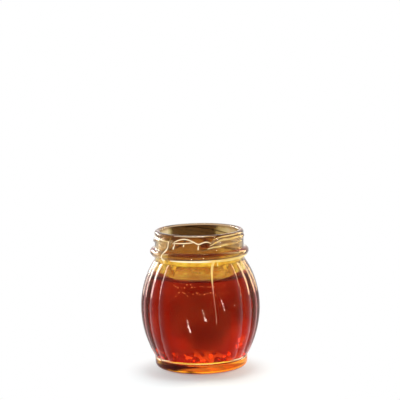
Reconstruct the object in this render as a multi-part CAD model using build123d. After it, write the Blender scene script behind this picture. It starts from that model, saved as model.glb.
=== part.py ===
from build123d import *
import os
from math import acos, asin, degrees

# A small round-bellied honey jar of clear pressed glass, open at the top and partly full of honey.
# Millimetres, +Z up. The origin is the centre of the plane that the foot rests on, and -Y is the front.
# The glass is one piece: a foot ring, a belly with a smooth panel at the front and at the back and
# upright lobes between them, a throat, a round bead, and a neck with slanted threads for a twist-off lid.
# The honey is one piece too, and fills the glass from wall to wall up to its level.

# Heights above the resting plane
jar_height = 95.0
throat_height = 74.6
belly_height = 42.3
waist_height = 8.2
foot_height = 6.9
honey_level = 64.5
floor_height = 6.4

# Belly, whose outline is one arc from the waist up to the widest line and one from there to the throat
belly_radius = 41.3
lower_edge_radius = 32.4
lobe_roundness = 11.0
lobes_a_side = 8
panel_angle = 60.0
panel_depth = 0.3

# Foot, with a hollow pushed up under it
foot_radius = 31.8
waist_radius = 30.6
foot_corner = 3.2
foot_top_corner = 0.7
push_up_radius = 25.0
push_up_height = 2.2

# Throat, bead and neck
throat_radius = 31.1
neck_radius = 30.7
bead_drop = 14.6
bead_tube = 2.7
bead_stand_off = 0.7
rim_outer_corner = 1.6
rim_inner_corner = 1.1

# Threads
thread_count = 3
thread_drop = 6.2
thread_span = 78.4
thread_middle = -50.0
thread_slope = 8.4
thread_tube = 1.7
thread_relief = 1.1
thread_end_corner = 1.4

# Inside
belly_wall = 3.2
mouth_radius = 27.2
neck_blend = 5.0
floor_crown = 1.4
floor_corner = 9.0

# How far a hidden end runs on past the surface that it meets
run_on = 1.5

# The bead and the threads hang from the rim, as the lid that they hold does
bead_height = jar_height - bead_drop
thread_height = jar_height - thread_drop


def band(radius, low, high):
    """Half section of a disc about the axis."""
    return Pos(0, low) * Rectangle(radius, high - low, align=(Align.MIN, Align.MIN))


def rounded(section, point, corner):
    """The section with its corner nearest to a point made round."""
    return fillet(section.vertices().sort_by_distance((*point, 0))[0], corner)


def turned(section, angle=360.0):
    """The half section turned about the jar's axis, anticlockwise from +X."""
    return revolve(Plane.XZ * section, Axis.Z, angle)


def crown_radius(radius, height):
    """Radius of the ball whose cap has this radius and height."""
    return (radius**2 + height**2) / (2 * height)

def outline_arc(end_radius, end_height):
    """Radius of the belly's arc that is upright at the widest line and ends at a radius and a height."""
    drop = belly_radius - end_radius
    rise = end_height - belly_height
    return (drop**2 + rise**2) / (2 * drop)


shoulder_arc = outline_arc(throat_radius, throat_height)
lower_arc = outline_arc(lower_edge_radius, waist_height)


def turn_to_radius(arc, inset, radius):
    """Angle that a belly arc, set in from the lobes' crest, turns through to reach a radius."""
    return degrees(acos((radius - belly_radius + arc) / (arc - inset)))


def turn_to_height(arc, inset, height):
    """Angle that a belly arc, set in from the lobes' crest, turns through to reach a height."""
    return degrees(asin(abs(height - belly_height) / (arc - inset)))


def belly_section(inset, low_turn, high_turn, crown=0.0):
    """Half section of the belly inside its two arcs, over a floor that rises to a crown at the axis."""
    lower = CenterArc((belly_radius - lower_arc, belly_height), lower_arc - inset, -low_turn, low_turn)
    upper = CenterArc((belly_radius - shoulder_arc, belly_height), shoulder_arc - inset, 0, high_turn)
    top = upper @ 1
    bottom = lower @ 0
    lid = Polyline(top, (0, top.Y), (0, bottom.Y + crown))
    floor = RadiusArc(lid @ 1, bottom, crown_radius(bottom.X, crown)) if crown else Line(lid @ 1, bottom)
    return make_face(Curve() + [lower, upper, lid, floor])



def core():
    """Foot, waist, throat, bead and neck, solid right through, over the hollow under the foot."""
    foot = band(foot_radius, 0, foot_height)
    foot = rounded(foot, (foot_radius, 0), foot_corner)
    foot = rounded(foot, (foot_radius, foot_height), foot_top_corner)
    waist = band(waist_radius, foot_height - run_on, belly_height)
    throat = band(throat_radius, belly_height, bead_height)
    bead_centre = neck_radius + bead_stand_off
    bead = band(bead_centre, bead_height - bead_tube, bead_height + bead_tube)
    bead += Pos(bead_centre, bead_height) * Circle(bead_tube)
    neck = band(neck_radius, bead_height, jar_height)
    neck = rounded(neck, (neck_radius, jar_height), rim_outer_corner)
    ball_radius = crown_radius(push_up_radius, push_up_height)
    push_up = Pos(0, 0, push_up_height - ball_radius) * Sphere(ball_radius)
    return turned(foot + waist + throat + bead + neck) - push_up


def panels():
    """The smooth panels, centred on the front and on the back."""
    low_turn = turn_to_height(lower_arc, panel_depth, waist_height)
    high_turn = turn_to_radius(shoulder_arc, panel_depth, throat_radius - run_on)
    panel = Rot(Z=-panel_angle / 2) * turned(belly_section(panel_depth, low_turn, high_turn), panel_angle)
    return [Rot(Z=side) * panel for side in (-90, 90)]


def lobe(width):
    """One lobe, centred on +X: a round bar bent along the outline, between two planes through the axis."""
    start = Pos(belly_radius - lobe_roundness, 0, belly_height) * Circle(lobe_roundness)
    wedge = Rot(Z=-width / 2) * turned(band(2 * belly_radius, waist_height, jar_height), width)
    bars = []
    for arc, end_radius, way in ((shoulder_arc, throat_radius, -1), (lower_arc, waist_radius, 1)):
        axis = Axis((belly_radius - arc, 0, belly_height), (0, way, 0))
        bars.append(revolve(start, axis, turn_to_radius(arc, 0, end_radius - run_on)))
    return (bars[0] + bars[1]) & wedge


def lobes():
    """The lobes of both sides, which share the two arcs that the panels leave."""
    width = (180 - panel_angle) / lobes_a_side
    first = lobe(width)
    turns = [(place + 0.5) * width + (panel_angle - 180) / 2 for place in range(lobes_a_side)]
    return [Rot(Z=side + turn) * first for side in (0, 180) for turn in turns]


def threads():
    """Short ridges round the neck with rounded ends, each rising to the right."""
    ring_radius = neck_radius + thread_relief - thread_tube
    bar = turned(Pos(ring_radius, 0) * Circle(thread_tube), thread_span)
    bar = fillet(bar.faces().filter_by(GeomType.PLANE).edges(), thread_end_corner)
    ridge = Pos(0, 0, thread_height) * Rot(X=thread_slope) * Rot(Z=-thread_span / 2) * bar
    return [Rot(Z=thread_middle + 360 / thread_count * place) * ridge for place in range(thread_count)]

def cavity():
    """The space inside the glass, which runs on above the rim."""
    low_turn = turn_to_height(lower_arc, belly_wall, floor_height)
    high_turn = turn_to_radius(shoulder_arc, belly_wall, mouth_radius)
    belly = belly_section(belly_wall, low_turn, high_turn, floor_crown)
    bore = band(mouth_radius, belly_height, jar_height + run_on)
    inside = belly + bore
    inside = rounded(inside, (mouth_radius, throat_height), neck_blend)
    inside = rounded(inside, (waist_radius, floor_height), floor_corner)
    lip_radius = mouth_radius + rim_inner_corner
    lip_height = jar_height - rim_inner_corner
    flare = band(lip_radius, lip_height, jar_height + run_on)
    flare -= Pos(lip_radius, lip_height) * Circle(rim_inner_corner)
    return turned(inside + flare)


space = cavity()
glass_jar = core() + panels() + lobes() + threads() - space
honey = space & turned(band(belly_radius, 0, honey_level))

os.makedirs("parts", exist_ok=True)
export_step(glass_jar, "parts/glass_jar.step")
export_step(honey, "parts/honey.step")
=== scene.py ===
import bpy
import random
from math import atan2, cos, radians, sin
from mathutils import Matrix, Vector


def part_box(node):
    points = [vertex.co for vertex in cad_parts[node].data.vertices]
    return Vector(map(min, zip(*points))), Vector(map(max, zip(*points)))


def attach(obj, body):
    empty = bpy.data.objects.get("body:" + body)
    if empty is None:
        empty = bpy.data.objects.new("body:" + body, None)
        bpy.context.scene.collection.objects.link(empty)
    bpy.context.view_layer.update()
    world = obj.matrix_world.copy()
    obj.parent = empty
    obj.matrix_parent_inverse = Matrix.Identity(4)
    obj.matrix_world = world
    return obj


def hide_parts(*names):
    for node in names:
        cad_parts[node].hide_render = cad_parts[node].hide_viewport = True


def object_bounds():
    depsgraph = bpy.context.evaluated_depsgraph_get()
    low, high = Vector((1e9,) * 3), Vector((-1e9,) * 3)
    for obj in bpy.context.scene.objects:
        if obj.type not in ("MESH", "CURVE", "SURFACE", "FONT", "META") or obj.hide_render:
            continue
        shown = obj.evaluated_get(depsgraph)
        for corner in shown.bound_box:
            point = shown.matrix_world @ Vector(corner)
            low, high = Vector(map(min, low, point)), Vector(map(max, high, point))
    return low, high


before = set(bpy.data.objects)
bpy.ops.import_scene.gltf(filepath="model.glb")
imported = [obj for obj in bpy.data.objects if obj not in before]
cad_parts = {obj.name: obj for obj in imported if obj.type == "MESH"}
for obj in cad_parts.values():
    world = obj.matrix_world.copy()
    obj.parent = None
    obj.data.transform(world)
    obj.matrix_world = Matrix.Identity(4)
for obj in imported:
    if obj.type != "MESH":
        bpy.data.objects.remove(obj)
cad_low, cad_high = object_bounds()
scene = bpy.context.scene
scene.view_settings.view_transform = "Standard"


# The camera stands in front of the jar and a little above it. It looks down on the jar from just over a
# metre away, leaves room over the mouth, and is tipped by about a degree.
jar_middle = Vector((0, 0, (cad_low.z + cad_high.z) / 2))
camera_distance = 1.1
camera_elevation = radians(11.25)
camera_tip = radians(-1.1)
back_off = Vector((0, -cos(camera_elevation), sin(camera_elevation))) * camera_distance
aim = Vector((0.0011, 0, 0.1153))
bpy.ops.object.camera_add(location=jar_middle + back_off)
camera = bpy.context.object
camera.name = "camera"
camera.rotation_euler = (aim - camera.location).to_track_quat("-Z", "Y").to_euler()
camera.rotation_euler.rotate_axis("Z", camera_tip)
camera.data.lens = 142.6
camera.data.sensor_width = 36
camera.data.clip_end = 20
scene.camera = camera
scene.cycles.max_bounces = 32
scene.cycles.transmission_bounces = 32
scene.cycles.glossy_bounces = 16
bpy.ops.object.select_all(action="DESELECT")


# The room is plain white all round. What looks at it, straight, through glass or in a shiny face, sees the
# white at full strength, and its light on other things is softer.
class Value:
    """A number that varies over a surface: a socket, with the operators that this file uses."""

    def __init__(self, nodes, socket):
        self.nodes = nodes
        self.socket = socket

    def worked(self, operation, *others):
        """The value that a Math node makes of this one and others."""
        node = self.nodes.new("ShaderNodeMath")
        node.operation = operation
        for place, item in enumerate((self, *others)):
            fill(node.inputs[place], item)
        return Value(self.nodes, node.outputs[0])

    def __add__(self, other):
        return self.worked("ADD", other)

    def __sub__(self, other):
        return self.worked("SUBTRACT", other)

    def __mul__(self, other):
        return self.worked("MULTIPLY", other)

    def __rsub__(self, other):
        return (self * -1) + other

    __radd__ = __add__
    __rmul__ = __mul__


def fill(socket, item):
    """Links a value or a socket to a socket, or writes a plain number or colour on it."""
    item = getattr(item, "socket", item)
    if isinstance(item, bpy.types.NodeSocket):
        socket.id_data.links.new(item, socket)
    elif hasattr(item, "__len__") and len(item) == 3 and socket.type == "RGBA":
        socket.default_value = (*item, 1)
    else:
        socket.default_value = item


class Finish:
    """A material, whose nodes are added one by one and whose patterns sit on the piece's own place."""

    def __init__(self, name):
        self.material = bpy.data.materials.new(name)
        self.material.use_nodes = True
        self.nodes = self.material.node_tree.nodes
        self.nodes.clear()
        self.out = self.nodes.new("ShaderNodeOutputMaterial")

    def node(self, kind, settings=None, **sockets):
        """A node of this kind, with its settings made first and then its sockets."""
        node = self.nodes.new(kind)
        for name, setting in (settings or {}).items():
            setattr(node, name, setting)
        for name, item in sockets.items():
            fill(node.inputs[name.replace("_", " ")], item)
        return node

    def value(self, node, name):
        """One output of a node, as a value to work with."""
        return Value(self.nodes, node.outputs[name])

    def place(self):
        """Where a point of the piece lies, in metres."""
        return self.node("ShaderNodeTexCoord").outputs["Object"]

    def along(self, axis, place):
        """How far a place lies along an axis."""
        return self.value(self.node("ShaderNodeSeparateXYZ", Vector=place), axis)

    def away_from(self, centre, place):
        """How far a place lies from a centre."""
        node = self.node("ShaderNodeVectorMath", {"operation": "DISTANCE"})
        fill(node.inputs[0], place)
        fill(node.inputs[1], centre)
        return self.value(node, "Value")

    def noise(self, place, scale, detail):
        """Soft uneven patches, from 0 to 1."""
        return self.value(self.node("ShaderNodeTexNoise", Vector=place, Scale=scale, Detail=detail), "Fac")

    def surface(self, shader):
        """Makes a shader the surface of the material."""
        fill(self.out.inputs["Surface"], shader.outputs[0])

    def volume(self, shader):
        """Makes a shader the inside of the material."""
        fill(self.out.inputs["Volume"], shader.outputs[0])


def ramp(finish, value, low, high):
    """0 below the low value, 1 above the high one, and smooth between them."""
    node = finish.node("ShaderNodeMapRange", {"interpolation_type": "SMOOTHSTEP"}, Value=value)
    fill(node.inputs["From Min"], low)
    fill(node.inputs["From Max"], high)
    return finish.value(node, "Result")


def mixed(finish, share, first, second):
    """A colour between two, by a share from 0 to 1."""
    node = finish.node("ShaderNodeMix", {"data_type": "RGBA"})
    fill(node.inputs[0], share)
    fill(node.inputs[6], first)
    fill(node.inputs[7], second)
    return node.outputs[2]


def ray_kinds(nodes):
    """1 for rays from the camera, for rays through glass and for rays off a shiny face, and 0 for others."""
    paths = nodes.new("ShaderNodeLightPath")
    through = Value(nodes, paths.outputs["Is Transmission Ray"])
    mirrored = Value(nodes, paths.outputs["Is Glossy Ray"]) * (1 - through)
    return Value(nodes, paths.outputs["Is Camera Ray"]), through, mirrored


world = bpy.data.worlds.new("white_room")
scene.world = world
world.use_nodes = True
background = world.node_tree.nodes["Background"]
straight, through, mirrored = ray_kinds(world.node_tree.nodes)
room_light = 0.62
fill(background.inputs["Color"], (1, 1, 1, 1))
fill(background.inputs["Strength"], (straight + through + mirrored) * (1 - room_light) + room_light)


# The floor is a wide white table of matt board. A few centimetres from the jar it looks as white as the room,
# and near the jar it keeps the soft shadow in front.
table_colour = (0.755, 0.80, 0.815)
shadow_middle = (0, -0.055, 0)
shadow_reach = (0.020, 0.100)
bpy.ops.mesh.primitive_circle_add(vertices=64, radius=4, fill_type="NGON", location=(0, 0, 0))
floor = bpy.context.object
floor.name = "floor"
white_table = Finish("white_table")
straight, through, mirrored = ray_kinds(white_table.nodes)
seen = straight + mirrored
matt = white_table.node("ShaderNodeBsdfDiffuse", Color=table_colour)
glow = white_table.node("ShaderNodeEmission", Color=(1, 1, 1), Strength=seen * 0.12)
lit = white_table.node("ShaderNodeAddShader")
fill(lit.inputs[0], matt.outputs[0])
fill(lit.inputs[1], glow.outputs[0])
plain_white = white_table.node("ShaderNodeEmission", Color=(1, 1, 1), Strength=1.0)
far_off = ramp(white_table, white_table.away_from(shadow_middle, white_table.place()), *shadow_reach)
whole = white_table.node("ShaderNodeMixShader", Fac=through + (1 - through) * seen * far_off)
fill(whole.inputs[1], lit.outputs[0])
fill(whole.inputs[2], plain_white.outputs[0])
white_table.surface(whole)
floor.data.materials.append(white_table.material)
bpy.ops.object.select_all(action="DESELECT")


# Tall narrow lamps stand behind the jar at both sides and draw bright lines down its lobes, and a soft one
# hangs high above it. The others show only in the glass: a broad one behind on the left, and three thin
# slanted ones low in front, which draw the strokes on the belly.
def soft_lamp(name, place, width, height, power, lights_table=True, slant=0, colour=(1, 1, 1)):
    """An oblong lamp that faces the jar, and that can't be seen straight or through glass."""
    bpy.ops.object.light_add(type="AREA", location=place)
    lamp = bpy.context.object
    lamp.name = name
    lamp.data.shape = "RECTANGLE"
    lamp.data.size = width
    lamp.data.size_y = height
    lamp.data.energy = power
    lamp.data.color = colour
    lamp.rotation_euler = (jar_middle - lamp.location).to_track_quat("-Z", "Y").to_euler()
    lamp.rotation_euler.rotate_axis("Z", radians(slant))
    lamp.visible_camera = False
    lamp.visible_transmission = False
    lamp.visible_diffuse = lights_table
    bpy.ops.object.select_all(action="DESELECT")


soft_lamp("left_strip", (-0.85, 0.60, 0.30), 0.40, 0.7, 6, colour=(1.0, 0.90, 0.78))
soft_lamp("right_strip", (0.80, 0.65, 0.35), 0.32, 0.7, 7, colour=(1.0, 0.78, 0.42))
soft_lamp("top_lamp", (0.05, 0.35, 1.45), 0.5, 0.5, 12)
soft_lamp("left_window", (-0.60, 0.78, 0.30), 0.50, 0.26, 4.5, False, colour=(1.0, 0.96, 0.88))
cool_white = (0.52, 0.62, 1.0)
soft_lamp("low_left", (-0.030, -0.088, 0.013), 0.0028, 0.026, 0.036, False, 20, cool_white)
soft_lamp("low_middle", (0.018, -0.155, 0.020), 0.0050, 0.046, 0.096, False, 20, cool_white)
soft_lamp("low_right", (0.30, -0.33, 0.055), 0.016, 0.12, 0.56, False, 24, cool_white)


# The jar is one piece of clear pressed glass, made in a mould. It keeps the exact shape that carries the
# threads and the foot. Its skin has the faint waves that pressing leaves, and inside, where honey wets the
# wall, nothing shines, because honey bends light just as glass does.
cad_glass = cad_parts["glass_jar"]
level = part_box("honey")[1].z
inner_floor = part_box("honey")[0].z
jar = bpy.data.objects.new("jar_glass", cad_glass.data.copy())
scene.collection.objects.link(jar)
wet_limit = level - 0.0001
floor_disc_radius = 0.0305
least_face_area = 1e-13


def faces_inwards(face):
    """Whether a face of the jar is on the inside of its wall or on the inside of its floor."""
    away = Vector((face.center.x, face.center.y, 0))
    if face.center.z < inner_floor - 0.0003:
        return False
    return face.normal.dot(away) < 0 or (face.normal.z > 0.5 and away.length < floor_disc_radius)


def edit(piece):
    """Opens a piece alone in edit mode."""
    bpy.ops.object.select_all(action="DESELECT")
    piece.select_set(True)
    bpy.context.view_layer.objects.active = piece
    bpy.ops.object.mode_set(mode="EDIT")


edit(jar)
bpy.ops.mesh.select_all(action="SELECT")
bpy.ops.mesh.customdata_custom_splitnormals_clear()
bpy.ops.mesh.remove_doubles(threshold=0.0000005)
bpy.ops.mesh.select_all(action="DESELECT")
bpy.ops.object.mode_set(mode="OBJECT")
for face in jar.data.polygons:
    face.select = face.area < least_face_area
edit(jar)
bpy.ops.mesh.delete(type="FACE")
bpy.ops.object.mode_set(mode="OBJECT")
bpy.ops.object.shade_smooth_by_angle(angle=radians(30))
for face in jar.data.polygons:
    face.select = faces_inwards(face)
edit(jar)
bpy.ops.mesh.bisect(plane_co=(0, 0, wet_limit), plane_no=(0, 0, 1))
bpy.ops.object.mode_set(mode="OBJECT")
clear_glass = Finish("clear_glass")
on_glass_skin = clear_glass.place()
waves = clear_glass.noise(on_glass_skin, 90, 1)
bump = clear_glass.node("ShaderNodeBump", Height=waves, Strength=0.05, Distance=0.002)
height = clear_glass.along("Z", on_glass_skin)
# The glass's colour is painted light: patches of warm painted reflection on the shoulder and neck, a brown
# painted reflection round the lip, and an amber painted glow round the foot, where the honey's light shows
# through the thick glass. The warm specular tint dims its shine as a dim warm room would.
warm_reflection_patches = ramp(clear_glass, clear_glass.noise(on_glass_skin, 150, 3), 0.40, 0.62)
warm_reflection = mixed(clear_glass, warm_reflection_patches, (0.97, 0.93, 0.84), (0.91, 0.78, 0.55))
upper = mixed(clear_glass, ramp(clear_glass, height, 0.0660, 0.0720), (0.97, 0.97, 0.95), warm_reflection)
lip = mixed(clear_glass, ramp(clear_glass, height, 0.0915, 0.0935), upper, (0.52, 0.36, 0.22))
glass_painted_light = mixed(clear_glass, ramp(clear_glass, height, 0.0080, 0.0100), (0.97, 0.72, 0.30), lip)
clear_glass.surface(clear_glass.node("ShaderNodeBsdfPrincipled", Base_Color=glass_painted_light, Roughness=0.0,
                                     IOR=1.5, Transmission_Weight=1.0,
                                     Specular_Tint=(0.30, 0.19, 0.10), Normal=bump.outputs["Normal"]))
wet_glass = Finish("wet_glass")
wet_glass.surface(wet_glass.node("ShaderNodeBsdfPrincipled", Base_Color=(1, 1, 1), Roughness=0.0, IOR=1.0,
                                 Transmission_Weight=1.0))
jar.data.materials.clear()
jar.data.materials.append(clear_glass.material)
jar.data.materials.append(wet_glass.material)
for face in jar.data.polygons:
    face.material_index = int(faces_inwards(face) and face.center.z < wet_limit)
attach(jar, "root")
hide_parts("glass_jar")


# The honey fills the glass from wall to wall, and its skin climbs a little where it clings to the wall.
# It is clear and thick, golden where it is thin and deep red where it is deep. A painted glow stands for the
# light
# that it pipes down from the room: red flecks at its bottom and soft halos low at the front.
bite = 0.00015
columns_round = 96
bpy.context.view_layer.update()


def wall_radius(height):
    """Radius of the glass's inner wall at a height."""
    hit, place, normal, face = jar.ray_cast((0, 0, height), (1, 0, 0))
    return place.x


def floor_height(radius):
    """Height of the glass's inner floor at a radius."""
    hit, place, normal, face = jar.ray_cast((radius, 0, level), (0, 0, -1))
    return place.z


def ring_stack(name, rings, columns):
    """A skin of rings about the axis, each given as its radius and its height, one drawn from the last."""
    bpy.ops.object.select_all(action="DESELECT")
    radius, height = rings[0]
    bpy.ops.mesh.primitive_circle_add(vertices=columns, radius=radius, location=(0, 0, height))
    piece = bpy.context.object
    piece.name = name
    bpy.ops.object.transform_apply(location=True, rotation=False, scale=False)
    bpy.ops.object.mode_set(mode="EDIT")
    bpy.ops.mesh.select_all(action="SELECT")
    for next_radius, next_height in rings[1:]:
        rise = (0, 0, next_height - height)
        bpy.ops.mesh.extrude_edges_move(TRANSFORM_OT_translate={"value": rise})
        share = next_radius / radius
        bpy.ops.transform.resize(value=(share, share, 1), center_override=(0, 0, next_height))
        radius, height = next_radius, next_height
    bpy.ops.object.mode_set(mode="OBJECT")
    return piece


def face_outwards(piece, angle):
    """Turns the faces of a closed piece outwards, and smooths it but for edges sharper than an angle."""
    edit(piece)
    bpy.ops.mesh.select_all(action="SELECT")
    bpy.ops.mesh.normals_make_consistent(inside=False)
    bpy.ops.object.mode_set(mode="OBJECT")
    bpy.ops.object.shade_smooth_by_angle(angle=radians(angle))


def close_ends(piece):
    """Caps the open rings of a stack, and turns all its faces outwards."""
    edit(piece)
    bpy.ops.mesh.select_all(action="DESELECT")
    bpy.ops.mesh.select_non_manifold()
    bpy.ops.mesh.edge_face_add()
    bpy.ops.mesh.poke()
    bpy.ops.object.mode_set(mode="OBJECT")
    face_outwards(piece, 35)


skin_depth = 0.0003
floor_radii = (0.004, 0.010, 0.016, 0.022, 0.026, 0.029, 0.031)
wall_heights = [0.0125] + [0.0165 + 0.004 * step for step in range(12)]
body_top = level - skin_depth / 2
rings = [(radius, floor_height(radius) - bite) for radius in floor_radii]
rings += [(wall_radius(height) + bite, height) for height in (*wall_heights, body_top)]
rings += [(radius, body_top) for radius in (0.032, 0.024, 0.012, 0.004)]
honey = ring_stack("honey_fill", rings, columns_round)
close_ends(honey)
bright_right = (0.0255, -0.0205, 0.0215)
bright_left = (-0.0170, -0.0310, 0.0230)
honey_finish = Finish("honey")
inside = honey_finish.place()
clouds = honey_finish.noise(inside, 55, 2)
haze = mixed(honey_finish, ramp(honey_finish, clouds, 0.35, 0.65), (1.0, 0.30, 0.06), (0.60, 0.07, 0.01))
facets = honey_finish.node("ShaderNodeTexVoronoi", Vector=inside, Scale=250)
flecks = honey_finish.along("X", facets.outputs["Color"])
ragged_height = honey_finish.along("Z", inside) + clouds * 0.012
# The emission is painted glow: red glints on facets low down and in a pocket on the right, soft halos low at
# the front on both sides, and a faint red glow near the bottom.
bottom_glow_mask = 1 - ramp(honey_finish, ragged_height, 0.012, 0.030)
low = 1 - ramp(honey_finish, ragged_height, 0.017, 0.025)
from_right = honey_finish.away_from(bright_right, inside)
from_left = honey_finish.away_from(bright_left, inside)
right_pocket = 1 - ramp(honey_finish, from_right + clouds * 0.006, 0.0065, 0.0105)
left_halo = 1 - ramp(honey_finish, from_left + clouds * 0.010, 0.007, 0.018)
halo = 1 - ramp(honey_finish, from_right, 0.004, 0.022) + left_halo * 0.55
glint = ramp(honey_finish, flecks, 0.50, 0.80) * low + ramp(honey_finish, flecks, 0.10, 0.70) * right_pocket
glow_tint = mixed(honey_finish, glint, (0.0, 0.0, 0.0), (1.0, 0.10, 0.01))
painted_glow_colour = mixed(honey_finish, bottom_glow_mask * 0.12 + halo * 0.52, glow_tint, (0.75, 0.01, 0.0))
syrup = honey_finish.node("ShaderNodeBsdfPrincipled", Base_Color=haze, Roughness=0.0, IOR=1.0,
                          Transmission_Weight=0.95, Emission_Color=painted_glow_colour, Emission_Strength=0.6)
depth = honey_finish.node("ShaderNodeVolumeAbsorption", Color=(0.947, 0.767, 0.0), Density=300)
honey_finish.surface(syrup)
honey_finish.volume(depth)
honey.data.materials.append(honey_finish.material)
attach(honey, "root")
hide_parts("honey")


# A patch of painted shade hangs in the middle of the honey, a little to the right: a cloud that darkens
# what is seen through it, with no skin of its own.
bpy.ops.object.select_all(action="DESELECT")
bpy.ops.mesh.primitive_ico_sphere_add(subdivisions=4, radius=0.019, location=(0, 0, 0))
shade_cloud = bpy.context.object
shade_cloud.name = "painted_shade_cloud"
shade_cloud_middle = Vector((0.007, 0, 0.033))
for corner in shade_cloud.data.vertices:
    x, y, z = corner.co
    swell = 1 + 0.14 * sin(240 * x + 1) * cos(190 * z) + 0.10 * sin(260 * y)
    corner.co = Vector((x * 0.95, y, z * 1.05)) * swell + shade_cloud_middle
bpy.ops.object.shade_smooth()
shade_cloud_finish = Finish("painted_shade_cloud")
shade_cloud_finish.surface(shade_cloud_finish.node("ShaderNodeBsdfPrincipled", Base_Color=(1, 1, 1), Roughness=0.0,
                                       IOR=1.0, Transmission_Weight=1.0))
shade_cloud_finish.volume(shade_cloud_finish.node("ShaderNodeVolumeAbsorption", Color=(0.90, 0.70, 0.5), Density=80))
shade_cloud.data.materials.append(shade_cloud_finish.material)
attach(shade_cloud, "root")


# The top of the honey is a bright wet skin, nearly level, that turns up where it meets the wall. Slow rings
# are left in it where the last honey fell in.
edge = wall_radius(level) + bite
skin_rings = [(radius, level - skin_depth) for radius in (0.004, 0.016, edge)]
skin_rings += [(wall_radius(level + 0.001) + bite, level + 0.001), (edge - 0.0012, level + 0.0003)]
skin_rings += [(edge - 0.003, level)]
skin_rings += [(radius, level - 0.0001) for radius in (0.024, 0.012, 0.004)]
skin = ring_stack("honey_skin", skin_rings, columns_round)
close_ends(skin)
skin_finish = Finish("honey_skin")
on_skin = skin_finish.place()
centred = skin_finish.node("ShaderNodeMapping", Vector=on_skin, Location=(0.004, 0.006, -level))
rings_of_fall = skin_finish.node("ShaderNodeTexWave", {"wave_type": "RINGS", "rings_direction": "Z"},
                                 Vector=centred.outputs[0], Scale=38, Distortion=1.5)
stirred = ramp(skin_finish, skin_finish.noise(on_skin, 120, 2), 0.35, 0.65)
skin_tint = mixed(skin_finish, stirred, (1.0, 0.86, 0.46), (0.96, 0.72, 0.30))
slow_waves = skin_finish.node("ShaderNodeBump", Height=rings_of_fall.outputs["Fac"], Strength=0.30,
                              Distance=0.001)
skin_finish.surface(skin_finish.node("ShaderNodeBsdfPrincipled", Base_Color=skin_tint, Roughness=0.02,
                                     IOR=1.49, Transmission_Weight=0.94, Normal=slow_waves.outputs["Normal"]))
skin.data.materials.append(skin_finish.material)
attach(skin, "root")


# Honey was poured in and lifted out through the neck, so the inside of the neck and shoulder wears a thin
# uneven coat of it. Its colour carries painted shade, brown at the front and dark brown high at the back, and
# is golden and pale at the sides.
film_foot = level - 0.001
film_top = cad_high.z - 0.0011
film_steps = 15
film_thickness = 0.0009
film_heights = [film_foot + (film_top - film_foot) * step / film_steps for step in range(film_steps + 1)]
film_rings = [(wall_radius(height) + bite, height) for height in film_heights]
film = ring_stack("honey_film", film_rings, columns_round)
coat = film.vertex_groups.new(name="coat")
for corner in film.data.vertices:
    turn = atan2(corner.co.x, -corner.co.y)
    rest = 0.5 + 0.28 * sin(3 * turn + 0.8) + 0.22 * sin(7 * turn + 2.1)
    coat.add([corner.index], min(1, max(0, rest)) * min(1, (film_top - corner.co.z) / 0.004), "REPLACE")
bpy.context.view_layer.objects.active = film
shell = film.modifiers.new("shell", "SOLIDIFY")
shell.thickness = film_thickness
shell.offset = -1
shell.vertex_group = "coat"
shell.thickness_vertex_group = 0.35
bpy.ops.object.modifier_apply(modifier="shell")
face_outwards(film, 60)
film_finish = Finish("honey_film")
on_film = film_finish.place()
across, back, up = (film_finish.along(axis, on_film) for axis in "XYZ")
streaky = film_finish.node("ShaderNodeMapping", Vector=on_film, Scale=(260, 260, 70))
runs = film_finish.noise(streaky.outputs[0], 1, 2)
astray = across + runs * 0.012 - 0.006
middle = ramp(film_finish, astray, -0.0235, -0.0180) * (1 - ramp(film_finish, astray, 0.0100, 0.0210))
behind = ramp(film_finish, back, -0.006, 0.006)
high = ramp(film_finish, up + runs * 0.003, 0.0825, 0.0860)
golden = mixed(film_finish, ramp(film_finish, runs, 0.35, 0.65), (1.0, 0.90, 0.36), (0.92, 0.67, 0.20))
in_neck = middle * (1 - behind) * ramp(film_finish, up, 0.0760, 0.0790)
# Painted shade: brown across the front of the neck.
front_painted_shade = mixed(film_finish, in_neck, golden, (0.36, 0.175, 0.075))
rightwards = ramp(film_finish, across, -0.010, 0.010)
side_tint = mixed(film_finish, rightwards, (0.84, 0.74, 0.56), (0.64, 0.50, 0.30))
side_pale = mixed(film_finish, middle, side_tint, front_painted_shade)
above = mixed(film_finish, ramp(film_finish, up, 0.0740, 0.0800), golden, side_pale)
# Painted shade: dark brown high on the back wall of the neck.
back_painted_shade = mixed(film_finish, middle * behind * high, above, (0.105, 0.052, 0.018))
climb = ramp(film_finish, across * across, 0.00008, 0.00075) * 0.0032 + runs * 0.0012 + (level - 0.0005)
drowned = ramp(film_finish, climb - up, -0.0002, 0.0002) * (1 - behind)
film_tint = mixed(film_finish, drowned, back_painted_shade, (0.45, 0.075, 0.03))
ripple = film_finish.node("ShaderNodeBump", Height=runs, Strength=0.22, Distance=0.001)
film_finish.surface(film_finish.node("ShaderNodeBsdfPrincipled", Base_Color=film_tint, Roughness=0.03,
                                     IOR=1.4, Specular_Tint=(0.3, 0.3, 0.3), Transmission_Weight=1.0,
                                     Normal=ripple.outputs["Normal"]))
film.data.materials.append(film_finish.material)
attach(film, "root")


# Honey was spilled over the lip and hangs on the outside in thick runs: a rope lies under the bead, a drop
# has run down the front, strands lie along the thread on the right, and short drips hang under the lip.
def outwards(turn):
    """The way out from the axis, at degrees to the right of the front."""
    return Vector((sin(radians(turn)), -cos(radians(turn)), 0))


def on_glass(turn, height, stand_off=0.0):
    """A point on the outside of the glass, at degrees to the right of the front and a height."""
    away = outwards(turn)
    hit, place, normal, face = jar.ray_cast(away * 0.06 + Vector((0, 0, height)), -away)
    return place + away * stand_off


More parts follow.
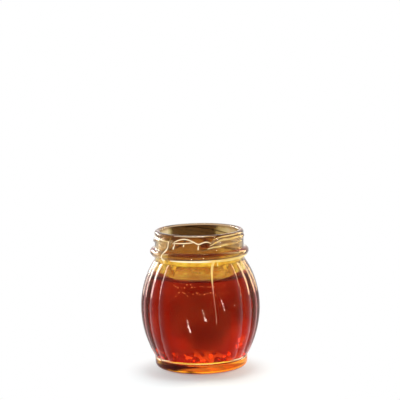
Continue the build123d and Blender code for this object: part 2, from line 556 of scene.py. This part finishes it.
def honey_run(route):
    """A rounded run of honey through points, each a turn, a height and a half thickness in millimetres."""
    bpy.ops.object.select_all(action="DESELECT")
    bpy.ops.curve.primitive_nurbs_path_add(location=(0, 0, 0))
    run = bpy.context.object
    spline = run.data.splines[0]
    spline.points.add(len(route) - len(spline.points))
    for point, (turn, height, thickness) in zip(spline.points, route):
        point.co = (*on_glass(turn, height), 1)
        point.radius = thickness
    spline.order_u = 3
    spline.use_endpoint_u = True
    spline.resolution_u = 5
    run.data.bevel_depth = 0.001
    run.data.bevel_resolution = 3
    run.data.use_fill_caps = True
    bpy.ops.object.convert(target="MESH")
    return bpy.context.object


def joined(pieces, name):
    """One piece made of several."""
    bpy.ops.object.select_all(action="DESELECT")
    for piece in pieces:
        piece.select_set(True)
    bpy.context.view_layer.objects.active = pieces[0]
    bpy.ops.object.join()
    whole_piece = bpy.context.object
    whole_piece.name = name
    return whole_piece


rope_run = [(-38, 0.0778, 0.40), (-26, 0.0780, 0.80), (-8, 0.0780, 0.85)]
rope_run += [(8, 0.0780, 0.85), (20, 0.0780, 1.05), (38, 0.0780, 1.1)]
rope_run += [(56, 0.0782, 1.1), (74, 0.0784, 0.8), (90, 0.0784, 0.3)]
trickle = [(17, 0.0784, 0.9), (16, 0.0755, 0.95), (14, 0.0710, 0.8), (13, 0.0665, 0.65), (13, 0.0600, 0.24)]
trickle += [(13.5, 0.0520, 0.11), (14.5, 0.0440, 0.10), (15, 0.0375, 0.20), (15, 0.0365, 0.1)]
lip_run = [(-34, 0.0902, 0.20), (-26, 0.0925, 0.40), (-16, 0.0930, 0.36), (-7, 0.0910, 0.36)]
lip_run += [(-1, 0.0890, 0.40), (5, 0.0906, 0.38), (11, 0.0910, 0.34), (15, 0.0896, 0.25)]
lip_under = [(-36, 0.0892, 0.20), (-29, 0.0898, 0.32), (-22, 0.0898, 0.36), (-15, 0.0901, 0.34)]
lip_under += [(-8, 0.0906, 0.20)]
left_drip = [(-33, 0.0890, 0.2), (-33, 0.0882, 0.3), (-34, 0.0872, 0.4), (-35, 0.0862, 0.6)]
left_drip += [(-35, 0.0853, 0.2)]
next_drip = [(-20, 0.0892, 0.2), (-20, 0.0888, 0.3), (-20, 0.0884, 0.4), (-20.5, 0.0879, 0.4)]
next_drip += [(-20.5, 0.0875, 0.2)]
right_drip = [(-1, 0.0886, 0.3), (-1, 0.0880, 0.25), (-1.5, 0.0872, 0.4), (-1.5, 0.0862, 0.5)]
right_drip += [(-1.5, 0.0855, 0.2)]
edge_run = [(-42, 0.0905, 0.25), (-43, 0.0880, 0.40), (-45, 0.0850, 0.40), (-48, 0.0820, 0.45)]
edge_run += [(-50, 0.0795, 0.70), (-50, 0.0770, 0.90), (-50, 0.0750, 0.50)]
high_strand = [(18, 0.0922, 0.20), (26, 0.0936, 0.45), (42, 0.0938, 0.50), (58, 0.0938, 0.40)]
high_strand += [(74, 0.0935, 0.15)]
middle_strand = [(13, 0.0880, 0.20), (22, 0.0903, 0.50), (30, 0.0917, 0.75), (43, 0.0912, 0.80)]
middle_strand += [(56, 0.0920, 0.70), (70, 0.0915, 0.25)]
low_strand = [(10, 0.0862, 0.20), (17, 0.0873, 0.60), (24, 0.0872, 0.55), (36, 0.0886, 0.70)]
low_strand += [(50, 0.0882, 0.65), (72, 0.0884, 0.20)]
lip_line = [(-34, 0.0944, 0.12), (-24, 0.0944, 0.26), (-8, 0.0944, 0.30), (8, 0.0944, 0.30)]
lip_line += [(22, 0.0944, 0.12)]
thread_run = [(-82, 0.0918, 0.20), (-70, 0.0914, 0.50), (-60, 0.0911, 0.60), (-50, 0.0908, 0.50)]
thread_run += [(-42, 0.0905, 0.30)]
routes = (rope_run, trickle, lip_run, lip_under, left_drip, next_drip, right_drip, edge_run,
          high_strand, middle_strand, low_strand, lip_line, thread_run)
spill = joined([honey_run(route) for route in routes], "spilled_honey")
edit(spill)
bpy.ops.mesh.select_all(action="SELECT")
bpy.ops.mesh.remove_doubles(threshold=0.000001)
bpy.ops.object.mode_set(mode="OBJECT")
face_outwards(spill, 60)
spill_finish = Finish("spilled_honey")
on_spill = spill_finish.place()
spill_height = spill_finish.along("Z", on_spill)
swirl = ramp(spill_finish, spill_finish.noise(on_spill, 240, 2), 0.38, 0.62)
honey_yellow = mixed(spill_finish, swirl, (1.0, 0.88, 0.46), (1.0, 0.74, 0.22))
# Painted light: the pale cream high on the left and on the left of the rope is a painted highlight, and the
# emission is a painted glow with no lamp, weaker and pinker on the drop low on the front.
leftwards = 1 - ramp(spill_finish, spill_finish.along("X", on_spill), 0.002, 0.010)
lip_highlight = ramp(spill_finish, spill_height, 0.0875, 0.0905) * leftwards
rope_highlight = leftwards * ramp(spill_finish, spill_height, 0.0765, 0.0775)
pale = lip_highlight + (1 - lip_highlight) * rope_highlight
drop = 1 - ramp(spill_finish, spill_height, 0.0600, 0.0660)
upper_tint = mixed(spill_finish, pale, honey_yellow, (1.0, 0.94, 0.80))
upper_glow = mixed(spill_finish, pale, (0.55, 0.41, 0.13), (0.90, 0.80, 0.54))
spill_tint = mixed(spill_finish, drop, upper_tint, (1.0, 0.60, 0.42))
spill_glow = mixed(spill_finish, drop, upper_glow, (0.55, 0.26, 0.16))
spill_finish.surface(spill_finish.node("ShaderNodeBsdfPrincipled", Base_Color=spill_tint, Roughness=0.05,
                                       IOR=1.45, Transmission_Weight=0.6, Emission_Color=spill_glow,
                                       Emission_Strength=0.36))
spill.data.materials.clear()
spill.data.materials.append(spill_finish.material)
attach(spill, "root")


# Honey was also smeared over the thread on both sides of the front, in thin patches dragged out into
# strands, thickest in their middle and drawn out to nothing at their edges.
def smear(top, bottom, middle, widths, depth):
    """A patch of honey on the glass, from one width in degrees at its top to another at its bottom."""
    bpy.ops.object.select_all(action="DESELECT")
    bpy.ops.mesh.primitive_grid_add(x_subdivisions=18, y_subdivisions=18, size=1, location=(0, 0, 0))
    patch = bpy.context.object
    for corner in patch.data.vertices:
        side, fall = corner.co.x, 0.5 - corner.co.y
        width = widths[0] + (widths[1] - widths[0]) * fall
        turn = middle + side * width + 2.5 * sin(9 * fall)
        height = top + (bottom - top) * fall
        crown = max(0, 1 - (2 * side) ** 2) * max(0, 1 - (2 * fall - 1) ** 4)
        corner.co = on_glass(turn, height, depth * crown - 0.0002)
    wall = patch.modifiers.new("wall", "SOLIDIFY")
    wall.thickness = 0.0002
    wall.offset = -1
    bpy.ops.object.modifier_apply(modifier="wall")
    return patch


left_smear = smear(0.0915, 0.0785, -55, (40, 5), 0.0009)
right_smear = smear(0.0930, 0.0868, 38, (44, 50), 0.0006)
smears_on_thread = joined([left_smear, right_smear], "honey_smear")
face_outwards(smears_on_thread, 60)
smear_finish = Finish("honey_smear")
dragged = smear_finish.node("ShaderNodeMapping", Vector=smear_finish.place(), Scale=(180, 180, 420))
strands = smear_finish.noise(dragged.outputs[0], 1, 3)
streaks = ramp(smear_finish, strands, 0.40, 0.60)
smear_tint = mixed(smear_finish, streaks, (1.0, 0.84, 0.50), (0.68, 0.46, 0.17))
dents = smear_finish.node("ShaderNodeBump", Height=strands, Strength=0.5, Distance=0.001)
smear_finish.surface(smear_finish.node("ShaderNodeBsdfPrincipled", Base_Color=smear_tint, Roughness=0.08,
                                       IOR=1.4, Transmission_Weight=0.82, Normal=dents.outputs["Normal"]))
smears_on_thread.data.materials.append(smear_finish.material)
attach(smears_on_thread, "root")


# Honey that ran down the jar has gathered round its foot as a thin glaze. Its colour is painted light: bright
# amber bands with a painted glow, more of them to the right, and painted shade, dark, on the left.
foot_heights = (0.0006, 0.0012, 0.0022, 0.0034, 0.0046, 0.0056, 0.0064)
glaze_stand_off = 0.00022
glaze_thickness = 0.0003
foot_radii = [abs(on_glass(0, height, glaze_stand_off).y) for height in foot_heights]
foot_rings = list(zip(foot_radii, foot_heights))
glaze = ring_stack("foot_glaze", foot_rings, columns_round)
bpy.context.view_layer.objects.active = glaze
shell = glaze.modifiers.new("shell", "SOLIDIFY")
shell.thickness = glaze_thickness
shell.offset = -1
bpy.ops.object.modifier_apply(modifier="shell")
face_outwards(glaze, 50)
glaze_finish = Finish("foot_glaze")
on_glaze = glaze_finish.place()
banded = glaze_finish.node("ShaderNodeMapping", Vector=on_glaze, Scale=(50, 50, 520))
bands = glaze_finish.noise(banded.outputs[0], 1, 2)
sideways = glaze_finish.along("X", on_glaze)
# Painted light and shade: bright bands glow amber, more to the right, and the rest is dark painted shade.
bright = ramp(glaze_finish, bands + sideways * 9, 0.33, 0.47)
amber = mixed(glaze_finish, ramp(glaze_finish, sideways, 0.004, 0.020), (1.0, 0.90, 0.22), (1.0, 0.50, 0.10))
lit_bands = mixed(glaze_finish, bright, (0.03, 0.003, 0.0), (1.0, 0.40, 0.02))
glaze_painted_light = mixed(glaze_finish, bright, (0.12, 0.030, 0.006), amber)
glaze_finish.surface(glaze_finish.node("ShaderNodeBsdfPrincipled", Base_Color=glaze_painted_light, Roughness=0.05,
                                       IOR=1.2, Transmission_Weight=0.94,
                                       Emission_Color=lit_bands, Emission_Strength=0.10))
glaze.data.materials.append(glaze_finish.material)
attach(glaze, "root")


# Fine air bubbles hang in the honey close to the glass, many of them in two loose rows under the surface.
# They are air that was stirred in and that thick honey holds back.
chance = random.Random(7)


def bubble(turn, height, size):
    """A small round bubble that just clears the inner wall."""
    bpy.ops.object.select_all(action="DESELECT")
    place = outwards(turn) * (wall_radius(height) - size * 1.2) + Vector((0, 0, height))
    bpy.ops.mesh.primitive_ico_sphere_add(subdivisions=1, radius=size, location=place)
    return bpy.context.object


def bubble_row(count, turns, height, scatter, share):
    """Bubbles spread between two turns near a height, each a share of the full size."""
    row = []
    for step in range(count):
        turn = turns[0] + (turns[1] - turns[0]) * (step + chance.random()) / count
        size = (0.00024 + 0.00022 * chance.random()) * share
        row.append(bubble(turn, height + scatter * chance.uniform(-1, 1), size))
    return row


bubbles = bubble_row(15, (-31, 16), 0.0612, 0.0012, 1.0)
bubbles += bubble_row(15, (-25, 31), 0.0562, 0.0012, 1.0)
bubbles += bubble_row(60, (-170, 190), 0.0500, 0.0120, 0.7)
fine_bubbles = joined(bubbles, "air_bubbles")
bpy.ops.object.transform_apply(location=True, rotation=True, scale=True)
bpy.ops.object.shade_smooth()
bubble_finish = Finish("air_bubbles")
# The bubbles' colour is painted light: they are opaque and glow pale pink with no lamp, as painted
# highlights.
caught = ramp(bubble_finish, bubble_finish.noise(bubble_finish.place(), 700, 1), 0.35, 0.65)
bubble_tint = mixed(bubble_finish, caught, (1.0, 0.70, 0.50), (1.0, 0.88, 0.72))
bubble_glow = mixed(bubble_finish, caught, (0.70, 0.30, 0.20), (1.0, 0.72, 0.58))
bubble_finish.surface(bubble_finish.node("ShaderNodeBsdfPrincipled", Base_Color=bubble_tint, Roughness=0.3,
                                         IOR=1.3, Emission_Color=bubble_glow, Emission_Strength=0.7))
fine_bubbles.data.materials.append(bubble_finish.material)
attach(fine_bubbles, "root")


# Soft lumps of set honey have sunk to the bottom round the edge of the floor, and a few more cling to the
# wall on the right. Their red glow is painted light, standing for the light they catch there.
def lump(turn, radius, height, size):
    """An uneven lump of set honey."""
    bpy.ops.object.select_all(action="DESELECT")
    place = outwards(turn) * radius + Vector((0, 0, height))
    bpy.ops.mesh.primitive_ico_sphere_add(subdivisions=2, radius=size, location=place)
    piece = bpy.context.object
    for corner in piece.data.vertices:
        corner.co *= chance.uniform(0.65, 1.15)
    piece.scale = (chance.uniform(0.5, 1.5), chance.uniform(0.4, 0.8), chance.uniform(0.6, 1.8))
    piece.rotation_euler = (0, chance.uniform(-1.0, 1.0), radians(turn))
    return piece


lumps = []
for step in range(40):
    turn = -180 + 360 * (step + chance.random()) / 40
    size = chance.uniform(0.0005, 0.0014)
    height = 0.0100 + 0.0050 * chance.random() ** 2
    lumps.append(lump(turn, wall_radius(height) - 0.0022, height, size))
for step in range(8):
    height = chance.uniform(0.0165, 0.0250)
    turn = chance.uniform(41, 55)
    size = chance.uniform(0.0005, 0.0011)
    lumps.append(lump(turn, wall_radius(height) - 0.0018, height, size))
set_honey = joined(lumps, "set_honey")
bpy.ops.object.transform_apply(location=True, rotation=True, scale=True)
lump_finish = Finish("set_honey")
# Painted glow: the lumps shine red with no lamp.
grains = ramp(lump_finish, lump_finish.noise(lump_finish.place(), 400, 2), 0.38, 0.62)
lump_tint = mixed(lump_finish, grains, (1.0, 0.20, 0.02), (1.0, 0.05, 0.01))
lump_finish.surface(lump_finish.node("ShaderNodeBsdfPrincipled", Base_Color=lump_tint, Roughness=0.4,
                                     IOR=1.0, Transmission_Weight=0.4, Emission_Color=lump_tint,
                                     Emission_Strength=0.22))
set_honey.data.materials.append(lump_finish.material)
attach(set_honey, "root")
